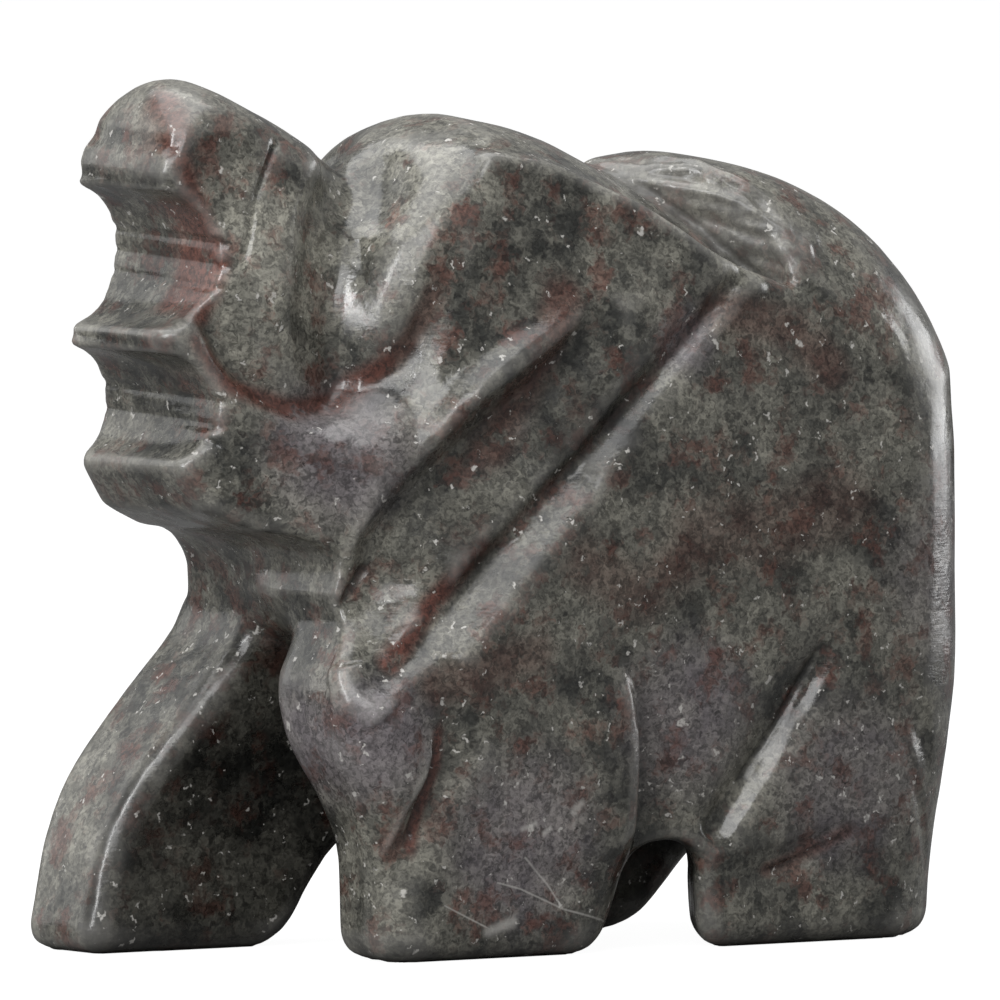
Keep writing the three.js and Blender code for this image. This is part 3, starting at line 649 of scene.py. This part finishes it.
def stone_material(colours):
    material = bpy.data.materials.new("polished_garnet_stone")
    material.use_nodes = True
    tree = material.node_tree
    tree.nodes.clear()
    clouds = make_clouds_group()
    grains = make_grains_group()
    scored = make_scored_group()
    coordinates = node(tree, "ShaderNodeTexCoord", (-2600, 0))
    in_millimetres = node(
        tree, "ShaderNodeMapping", (-2400, 0), Vector=coordinates.outputs["Object"], Scale=(1 / MM,) * 3
    )
    exact = in_millimetres.outputs[0]
    bends = make_bend_group()
    place = use_group(tree, bends, (-2200, 0), Vector=exact, Size=0.4, Reach=1.1)

    colour = stone_with_painted_shading(tree, clouds, place, colours)
    speck_settings = {"Spacing": 0.6, "Share": 0.22, "Radius": 0.34, "Seed": (2.0,) * 3}
    specks = use_group(tree, grains, (-1500, -700), Vector=place, **speck_settings)
    specks = maths(tree, "MULTIPLY", specks, SPECK_SHARE, (-1200, -700))
    colour = blend_colours(tree, specks, colour, colours.speck_and_shade, (-550, 450))
    # Painted shade: the hollows are darkened towards black.
    hollow = attribute(tree, "hollow", (-1500, -900))
    hollow_shade = maths(tree, "MULTIPLY", hollow, HOLLOW_SHADE_SHARE, (-1200, -900))
    colour = blend_colours(tree, hollow_shade, colour, colours.speck_and_shade, (-400, 400))
    # Painted glints: convex edges and the crease behind the head are lightened towards the pale fleck
    # colour.
    wear_and_glint = attribute(tree, "wear_and_glint", (-1500, -1100))
    painted_glint = maths(tree, "MULTIPLY", wear_and_glint, GLINT_SHARE, (-1200, -1100))
    colour = blend_colours(tree, painted_glint, colour, colours.fleck_and_glint, (-300, 350))
    flecks = stone_flecks(tree, grains, place)
    pale = maths(tree, "MULTIPLY", flecks, FLECK_SHARE, (-1200, -1500))
    colour = blend_colours(tree, pale, colour, colours.fleck_and_glint, (-200, 300))
    scores = side_scores(tree, scored, exact)
    scratched = maths(tree, "MULTIPLY", scores, SCORE_SHARE, (-1200, -3200))
    colour = blend_colours(tree, scratched, colour, colours.fleck_and_glint, (-100, 250))

    # Polish: smoother on open faces, duller in the hollows, on the flecks and where it is worn.
    smear_settings = {"Size": 1.8, "Detail": 1.0, "Low": 0.3, "High": 0.75, "Seed": (21.0,) * 3}
    smear = use_group(tree, clouds, (-900, -600), Vector=place, **smear_settings)
    smeared = maths(tree, "MULTIPLY", smear, SMEARED, (-700, -600))
    rough = maths(tree, "ADD", smeared, POLISHED, (-550, -600))
    for mask, share, row in (
        (hollow, HOLLOW_DULL, -750),
        (wear_and_glint, WORN_DULL, -900),
        (flecks, FLECK_DULL, -1050),
    ):
        duller = maths(tree, "MULTIPLY", mask, share, (-500, row))
        rough = maths(tree, "ADD", rough, duller, (-350, row))

    shader = node(
        tree,
        "ShaderNodeBsdfPrincipled",
        (100, 0),
        Base_Color=colour,
        Roughness=rough,
        Normal=stone_relief(tree, exact),
    )
    shader.inputs["IOR"].default_value = 1.6
    shader.inputs["Coat Weight"].default_value = 0.25
    shader.inputs["Coat Roughness"].default_value = 0.15
    node(tree, "ShaderNodeOutputMaterial", (400, 0), Surface=shader.outputs[0])
    return material


def floor_material(colours):
    """A pale floor that the camera sees brightly lit, without it lighting the dark stone from below."""
    material = bpy.data.materials.new("studio_floor")
    material.use_nodes = True
    tree = material.node_tree
    tree.nodes.clear()
    ray = node(tree, "ShaderNodeLightPath", (-600, 200))
    glow = maths(tree, "MULTIPLY", ray.outputs["Is Camera Ray"], 0.97, (-400, 200))
    lit = node(tree, "ShaderNodeBsdfDiffuse", (-200, 0), Color=colours.floor)
    bright = node(tree, "ShaderNodeEmission", (-200, 200), Color=(1, 1, 1, 1), Strength=glow)
    both = node(tree, "ShaderNodeAddShader", (0, 100), i0=lit.outputs[0], i1=bright.outputs[0])
    node(tree, "ShaderNodeOutputMaterial", (200, 100), Surface=both.outputs[0])
    return material


class CARVING_OT_stone(bpy.types.Operator):
    """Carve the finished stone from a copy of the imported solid"""

    bl_idname = "carving.stone"
    bl_label = "Stone"

    def execute(self, context):
        sizes = context.scene.carving_sizes
        solid = bpy.data.objects.get(CAD_NODE)
        if solid is None:
            raise RuntimeError("the frame has no node " + CAD_NODE)
        select_only(solid)
        bpy.ops.object.duplicate()
        stone = context.view_layer.objects.active
        if stone is solid:
            raise RuntimeError("the solid was not copied")
        stone.name = "elephant_stone"
        stone.data.name = "elephant_stone"
        stone.data.materials.clear()
        stone.scale = (1 / MM,) * 3
        select_only(stone)
        bpy.ops.object.transform_apply(location=False, rotation=False, scale=True)
        bpy.ops.object.mode_set(mode="EDIT")
        bpy.ops.mesh.select_all(action="SELECT")
        bpy.ops.mesh.remove_doubles(threshold=0.0005)
        bpy.ops.object.mode_set(mode="OBJECT")
        finish_modifier(stone, "REMESH", "Fine mesh", mode="VOXEL", voxel_size=sizes.grain)
        finish_modifier(stone, "SMOOTH", "Polish", factor=0.5, iterations=sizes.polish)
        mesh = stone.data
        points, normals = read_points(mesh), read_normals(mesh)
        inward = press_marks(points, normals, sizes) - hand_wave(points, sizes)
        inward *= ease(0.2, 1.2, points[:, 2])
        write_points(mesh, points - normals * inward[:, None])
        faces = sum(len(polygon.vertices) - 2 for polygon in mesh.polygons)
        if faces > sizes.triangles:
            finish_modifier(stone, "DECIMATE", "Fewer triangles", ratio=sizes.triangles / faces)
        points = read_points(mesh)
        points[:, 2] = np.where(points[:, 2] < 0.05, 0.0, points[:, 2])
        write_points(mesh, points)
        paint_attributes(mesh)
        stone.scale = (MM,) * 3
        select_only(stone)
        bpy.ops.object.transform_apply(location=False, rotation=False, scale=True)
        bpy.ops.object.shade_smooth()
        stone.data.materials.append(stone_material(context.scene.carving_colours))
        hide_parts(CAD_NODE)
        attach(stone, "root")
        return {"FINISHED"}


# Where the wheel opened garnet on the left side, and where dark red painted shade lies along the cheek, brow
# and neck grooves, as runs of stops (x, z) with a reach and a strength.
GARNET_AND_GROOVE_SHADE_RUNS = {
    "trunk_front": ([(-23.0, 46.4), (-23.7, 43.7), (-22.6, 40.8), (-21.5, 37.8), (-22.4, 34.8)], 0.9, 0.9),
    "cheek_groove": ([(-22.8, 33.4), (-21.2, 31.1), (-17.7, 29.8), (-14.3, 30.0), (-12.0, 32.2)], 0.9, 0.95),
    "brow": ([(-12.0, 32.2), (-11.1, 33.4), (-9.9, 35.8)], 1.1, 0.6),
    "neck_groove_foot": ([(-8.0, 22.3), (-10.4, 19.8), (-13.9, 16.2)], 0.9, 1.0),
    "neck_groove": ([(7.4, 35.4), (-3.0, 26.1), (-8.0, 21.6)], 0.35, 0.4),
    "shin": ([(-11.4, 12.4), (-11.5, 10.6), (-12.3, 8.4), (-12.8, 6.2)], 0.6, 0.95),
    "knee": ([(15.3, 6.1), (12.2, 4.7), (10.4, 4.2)], 0.7, 0.6),
    "shoulder": ([(-11.6, 15.0), (-9.6, 15.4), (-5.6, 16.6)], 1.7, 0.45),
    "lower_flank": ([(-2.2, 21.2), (1.2, 19.4), (4.6, 21.8)], 2.2, 0.4),
    "flank": ([(4.8, 22.6), (10.3, 22.8), (14.6, 24.2)], 3.0, 0.35),
    "upper_flank": ([(7.0, 34.6), (11.6, 33.6), (14.0, 31.4)], 1.8, 0.5),
    "ear": ([(-2.6, 35.6), (-4.2, 31.6), (-7.0, 27.4)], 1.6, 0.6),
}

# Where the left side is purple-grey: a centre (x, z), a reach and a strength.
VIOLET_AREAS = {
    "cheek": ((-15.4, 27.6), 5.4, 0.8),
    "leg_front": ((-15.0, 12.0), 4.6, 0.9),
    "leg_foot": ((-6.0, 6.6), 6.6, 0.7),
    "belly": ((4.4, 12.8), 6.0, 0.65),
    "hind_leg": ((15.2, 8.6), 6.4, 0.6),
    "rump": ((22.6, 20.0), 7.0, 0.5),
    "upper_groove": ((4.6, 33.2), 2.6, 0.7),
}

# Painted light and shade on the left side: it is painted lighter where light falls on it (trunk, forehead,
# near leg, belly, rump) and darker where shade falls (ramp and its foot, far leg, cheek), as a centre (x,
# z), a reach and the change of tone.
LIGHT_AND_SHADE_AREAS = {
    "trunk": ((-18.6, 38.0), 6.5, 0.55),
    "forehead": ((-9.6, 40.6), 4.6, 0.3),
    "ramp": ((-1.2, 28.4), 4.4, -0.62),
    "ramp_foot": ((-8.8, 22.4), 4.2, -0.5),
    "far_leg": ((-22.0, 8.0), 8.0, -0.4),
    "cheek": ((-14.6, 27.8), 4.4, -0.25),
    "near_leg": ((-5.0, 6.0), 7.5, 0.25),
    "belly": ((6.4, 14.0), 6.0, 0.15),
    "rump": ((23.6, 22.0), 4.0, 0.3),
}

# Painted shade on the far legs' inner faces, in the shadow of the near legs: they are this share of the
# stone's tone, up to this height.
INNER_SHADE = 0.45
INNER_SHADE_TOP = 20

# The garnet stain with the grooves' painted shade, the violet stone and the painted light and shade show on
# this side of the middle only.
SIDE_EDGE = -1.5


def paint_attributes(mesh):
    """Works out, for each point, how hollow the stone is (painted shade and dullness), its garnet stain and
    the grooves' painted shade, its violet, its painted light and shade, and its wear and painted glints.
    """
    points, normals = read_points(mesh), read_normals(mesh)
    edges = read_edges(mesh)
    smooth = spread(points, edges, 30)
    rise = spread(((smooth - points) * normals).sum(axis=1), edges, 2)
    # Painted shade goes in the hollows.
    stone_attribute(mesh, "hollow", ease(0.03, 0.20, rise))
    # Painted glints, with duller polish, on convex edges and in the crease behind the head.
    crease_glint = ease(3.0, 0.8, distance_to_run(points, CREASE, 3.2)[0])
    stone_attribute(mesh, "wear_and_glint", np.maximum(ease(0.03, 0.14, -rise), crease_glint))
    on_left = ease(SIDE_EDGE + 1, SIDE_EDGE, points[:, 1])
    seen = points[:, [0, 2]]
    # Garnet, and dark red painted shade along the grooves.
    garnet_and_shade = np.zeros(len(points))
    for stops, reach, strength in GARNET_AND_GROOVE_SHADE_RUNS.values():
        away, _ = distance_to_run(seen, stops, reach)
        garnet_and_shade = np.maximum(garnet_and_shade, strength * ease(reach, reach * 0.2, away))
    stone_attribute(mesh, "garnet_and_groove_shade_seat", garnet_and_shade * on_left)
    violet = np.zeros(len(points))
    for centre, reach, strength in VIOLET_AREAS.values():
        away = np.linalg.norm(seen - np.asarray(centre), axis=1)
        violet = np.maximum(violet, strength * ease(reach, reach * 0.3, away))
    stone_attribute(mesh, "violet_seat", violet * on_left)
    # Painted light and shade from the areas above.
    painted_light_and_shade = np.zeros(len(points))
    for centre, reach, change in LIGHT_AND_SHADE_AREAS.values():
        away = np.linalg.norm(seen - np.asarray(centre), axis=1)
        painted_light_and_shade += change * ease(reach, reach * 0.3, away) * on_left
    # Painted shade on the far legs' inner faces, in the near legs' shadow.
    beyond = ease(0, 1, points[:, 1]) * ease(0, 0.5, -normals[:, 1])
    inner_shade = beyond * ease(INNER_SHADE_TOP, INNER_SHADE_TOP - 4, points[:, 2])
    stone_attribute(mesh, "painted_light_and_shade", (1 + painted_light_and_shade) * (1 - (1 - INNER_SHADE) * inner_shade))


# Stage


def aim(obj, target):
    obj.rotation_euler = (Vector(target) - obj.location).to_track_quat("-Z", "Y").to_euler()


def softbox(name, place, width, height, power, target=(0, 0, 0.024)):
    bpy.ops.object.light_add(type="AREA", location=place)
    light = bpy.context.object
    light.name = name
    light.data.shape = "RECTANGLE"
    light.data.size = width
    light.data.size_y = height
    light.data.energy = power
    aim(light, target)


# Each light's name, place, width, height and power, in metres and watts.
LIGHTS = [
    ("top", (-0.05, 0.05, 0.50), 0.60, 0.60, 2.6),
    ("left_back", (-0.27, 0.40, 0.19), 0.40, 0.34, 0.32),
    ("left_strip", (-0.48, -0.15, 0.22), 0.06, 0.34, 1.1),
    ("right_back", (0.49, -0.03, 0.10), 0.30, 0.26, 0.9),
    ("front_fill", (-0.52, -0.52, 0.52), 0.50, 0.40, 2.5),
]

# How bright the room is to the camera and to everything else.
BACKDROP = 1.0
ROOM = 0.22

FLOOR_RADIUS = 3.0

AZIMUTH = math.radians(-34)
ELEVATION = math.radians(3)
CAMERA_DISTANCE = 1.0
CAMERA_TARGET = Vector((0.00009, -0.00006, 0.02411))
LENS = 661.6


class CARVING_OT_stage(bpy.types.Operator):
    """Set the floor, the soft lights and the camera"""

    bl_idname = "carving.stage"
    bl_label = "Stage"

    def execute(self, context):
        bpy.ops.object.select_all(action="DESELECT")
        bpy.ops.mesh.primitive_circle_add(vertices=96, radius=FLOOR_RADIUS, fill_type="NGON")
        floor = context.object
        floor.name = "floor"
        floor.data.materials.append(floor_material(context.scene.carving_colours))

        for light in LIGHTS:
            softbox(*light)

        world = context.scene.world or bpy.data.worlds.new("studio")
        context.scene.world = world
        world.use_nodes = True
        tree = world.node_tree
        tree.nodes.clear()
        seen = node(tree, "ShaderNodeLightPath", (-400, 200))
        strength = maths(tree, "MULTIPLY_ADD", seen.outputs["Is Camera Ray"], BACKDROP - ROOM, (-200, 200))
        strength.node.inputs[2].default_value = ROOM
        surface = node(tree, "ShaderNodeBackground", (0, 0), Color=(1, 1, 1, 1), Strength=strength)
        node(tree, "ShaderNodeOutputWorld", (200, 0), Surface=surface.outputs[0])

        context.scene.view_settings.view_transform = "Standard"
        back = Vector(
            (
                math.sin(AZIMUTH) * math.cos(ELEVATION),
                -math.cos(AZIMUTH) * math.cos(ELEVATION),
                math.sin(ELEVATION),
            )
        )
        bpy.ops.object.camera_add(location=CAMERA_TARGET + back * CAMERA_DISTANCE)
        camera = context.object
        aim(camera, CAMERA_TARGET)
        camera.data.lens = LENS
        camera.data.sensor_width = 36
        camera.data.clip_start = 0.05
        camera.data.clip_end = 20
        context.scene.camera = camera
        return {"FINISHED"}


class CARVING_PT_panel(bpy.types.Panel):
    """Lists the carving's pieces, sizes and colours"""

    bl_idname = "CARVING_PT_panel"
    bl_label = "Carving"
    bl_space_type = "VIEW_3D"
    bl_region_type = "UI"
    bl_category = "Carving"

    def draw(self, context):
        layout = self.layout
        for operator in (CARVING_OT_stone, CARVING_OT_stage):
            layout.operator(operator.bl_idname)
        for group in (context.scene.carving_sizes, context.scene.carving_colours):
            box = layout.box()
            for name in group.bl_rna.properties.keys():
                if name not in {"rna_type", "name"}:
                    box.prop(group, name)


CLASSES = (CarvingSizes, CarvingColours, CARVING_OT_stone, CARVING_OT_stage, CARVING_PT_panel)


def register():
    for each in CLASSES:
        bpy.utils.register_class(each)
    bpy.types.Scene.carving_sizes = bpy.props.PointerProperty(type=CarvingSizes)
    bpy.types.Scene.carving_colours = bpy.props.PointerProperty(type=CarvingColours)


def unregister():
    del bpy.types.Scene.carving_colours
    del bpy.types.Scene.carving_sizes
    for each in reversed(CLASSES):
        bpy.utils.unregister_class(each)


def main():
    register()
    bpy.ops.carving.stage()
    bpy.ops.carving.stone()


if __name__ == "__main__":
    main()
